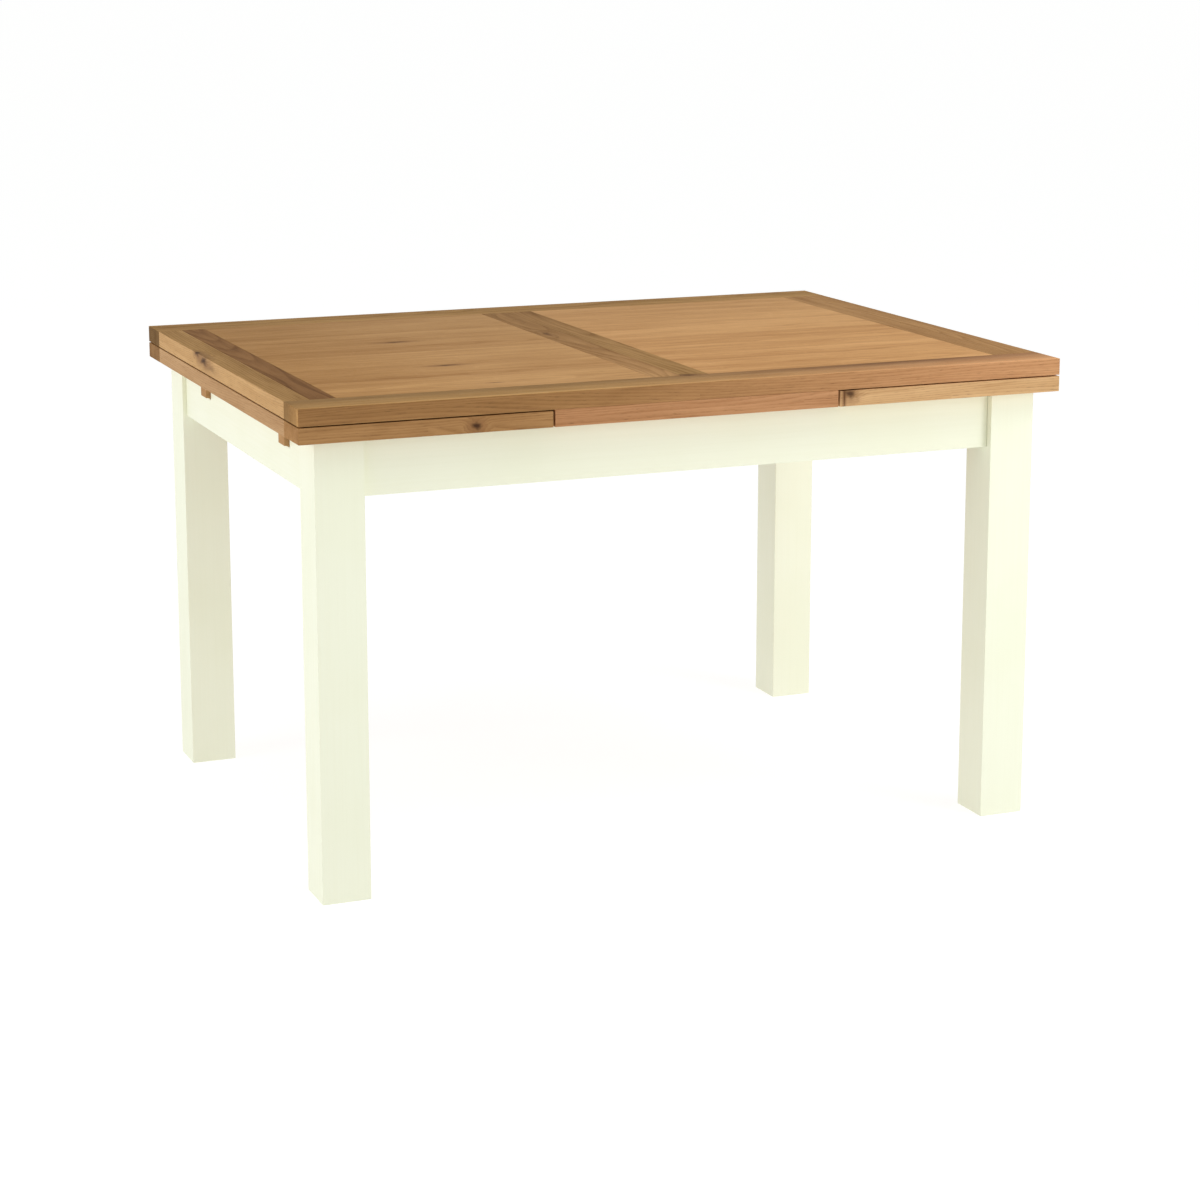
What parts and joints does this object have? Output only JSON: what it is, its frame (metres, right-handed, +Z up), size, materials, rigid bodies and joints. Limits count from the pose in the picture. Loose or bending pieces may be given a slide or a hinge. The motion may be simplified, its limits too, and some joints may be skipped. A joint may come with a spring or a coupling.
{
  "type": "draw-leaf extending dining table",
  "caption": "Rectangular dining table with square legs, a framed oak top and a draw leaf under each end that slides out on sloping runners.",
  "frame": {"origin": "on the floor under the middle of the table", "axes": "+X along the length, +Y from front to back, +Z up"},
  "size_m": [1.295, 0.94, 0.78],
  "materials": {
    "oak_panel": "satin lacquered oak, lighter boards of the panels",
    "oak_edge": "satin lacquered oak, mid-brown framing boards",
    "oak_dark": "satin lacquered oak, darker reddish strip",
    "cream_paint": "satin cream paint on wood",
    "inner_wood": "unpainted hardwood",
    "zinc_steel": "zinc plated",
    "felt": "pressed wool felt"
  },
  "bodies": {
    "frame": {"leg_front_left": "cream_paint", "leg_front_right": "cream_paint", "leg_back_left": "cream_paint", "leg_back_right": "cream_paint", "side_rail_front": "cream_paint", "side_rail_back": "cream_paint", "end_rail_left": "cream_paint", "end_rail_right": "cream_paint", "corner_block_front_left": "inner_wood", "corner_block_front_right": "inner_wood", "corner_block_back_left": "inner_wood", "corner_block_back_right": "inner_wood", "guide_rail_left": "inner_wood", "guide_rail_right": "inner_wood", "leg_bolt_front_left": "zinc_steel", "leg_bolt_front_right": "zinc_steel", "leg_bolt_back_left": "zinc_steel", "leg_bolt_back_right": "zinc_steel", "leg_nut_front_left": "zinc_steel", "leg_nut_front_right": "zinc_steel", "leg_nut_back_left": "zinc_steel", "leg_nut_back_right": "zinc_steel", "centre_board": "oak_edge"},
    "left_leaf": {"left_leaf_rail_front": "oak_edge", "left_leaf_rail_back": "oak_edge", "left_leaf_outer_strip": "oak_edge", "left_leaf_inner_strip": "oak_dark", "left_leaf_panel": "oak_panel", "left_leaf_runner_front": "inner_wood", "left_leaf_runner_back": "inner_wood", "left_leaf_stop_front": "inner_wood", "left_leaf_stop_back": "inner_wood"},
    "right_leaf": {"right_leaf_rail_front": "oak_edge", "right_leaf_rail_back": "oak_edge", "right_leaf_outer_strip": "oak_edge", "right_leaf_inner_strip": "oak_dark", "right_leaf_panel": "oak_panel", "right_leaf_runner_front": "inner_wood", "right_leaf_runner_back": "inner_wood", "right_leaf_stop_front": "inner_wood", "right_leaf_stop_back": "inner_wood"},
    "left_felt": {"felt_strip_left": "felt"},
    "main_top": {"top_rail_front": "oak_edge", "top_rail_back": "oak_edge", "top_outer_strip_left": "oak_edge", "top_inner_strip_right": "oak_edge", "top_outer_strip_right": "oak_edge", "top_middle_strip_left": "oak_edge", "top_middle_strip_right": "oak_edge", "top_inner_strip_left": "oak_dark", "top_panel_left": "oak_panel", "top_panel_right": "oak_panel", "top_peg_front": "inner_wood", "peg_disc_front": "inner_wood", "peg_screw_front": "zinc_steel", "top_peg_back": "inner_wood", "peg_disc_back": "inner_wood", "peg_screw_back": "zinc_steel", "felt_strip_right": "felt"}
  },
  "joints": [
    {"name": "left_leaf_slide", "type": "slide", "parent": "frame", "child": "left_leaf", "axis": [-0.9974, 0, 0.0723], "range_m": [0, 0.397]},
    {"name": "right_leaf_slide", "type": "slide", "parent": "frame", "child": "right_leaf", "axis": [0.9974, 0, 0.0723], "range_m": [0, 0.397]},
    {"name": "top_lift_left", "type": "hinge", "parent": "frame", "child": "left_felt", "pos_m": [0.6475, 0, 0.753], "axis": [0, 1, 0], "range_deg": [0, 1.33]},
    {"name": "top_lift_right", "type": "hinge", "parent": "left_felt", "child": "main_top", "pos_m": [-0.6475, 0, 0.753], "axis": [0, -1, 0], "range_deg": [0, 1.33]}
  ],
  "couplings": [
    {"joint": "top_lift_left", "follows": "left_leaf_slide", "rad_per_m": 0.05804},
    {"joint": "top_lift_right", "follows": "right_leaf_slide", "rad_per_m": 0.05804}
  ]
}
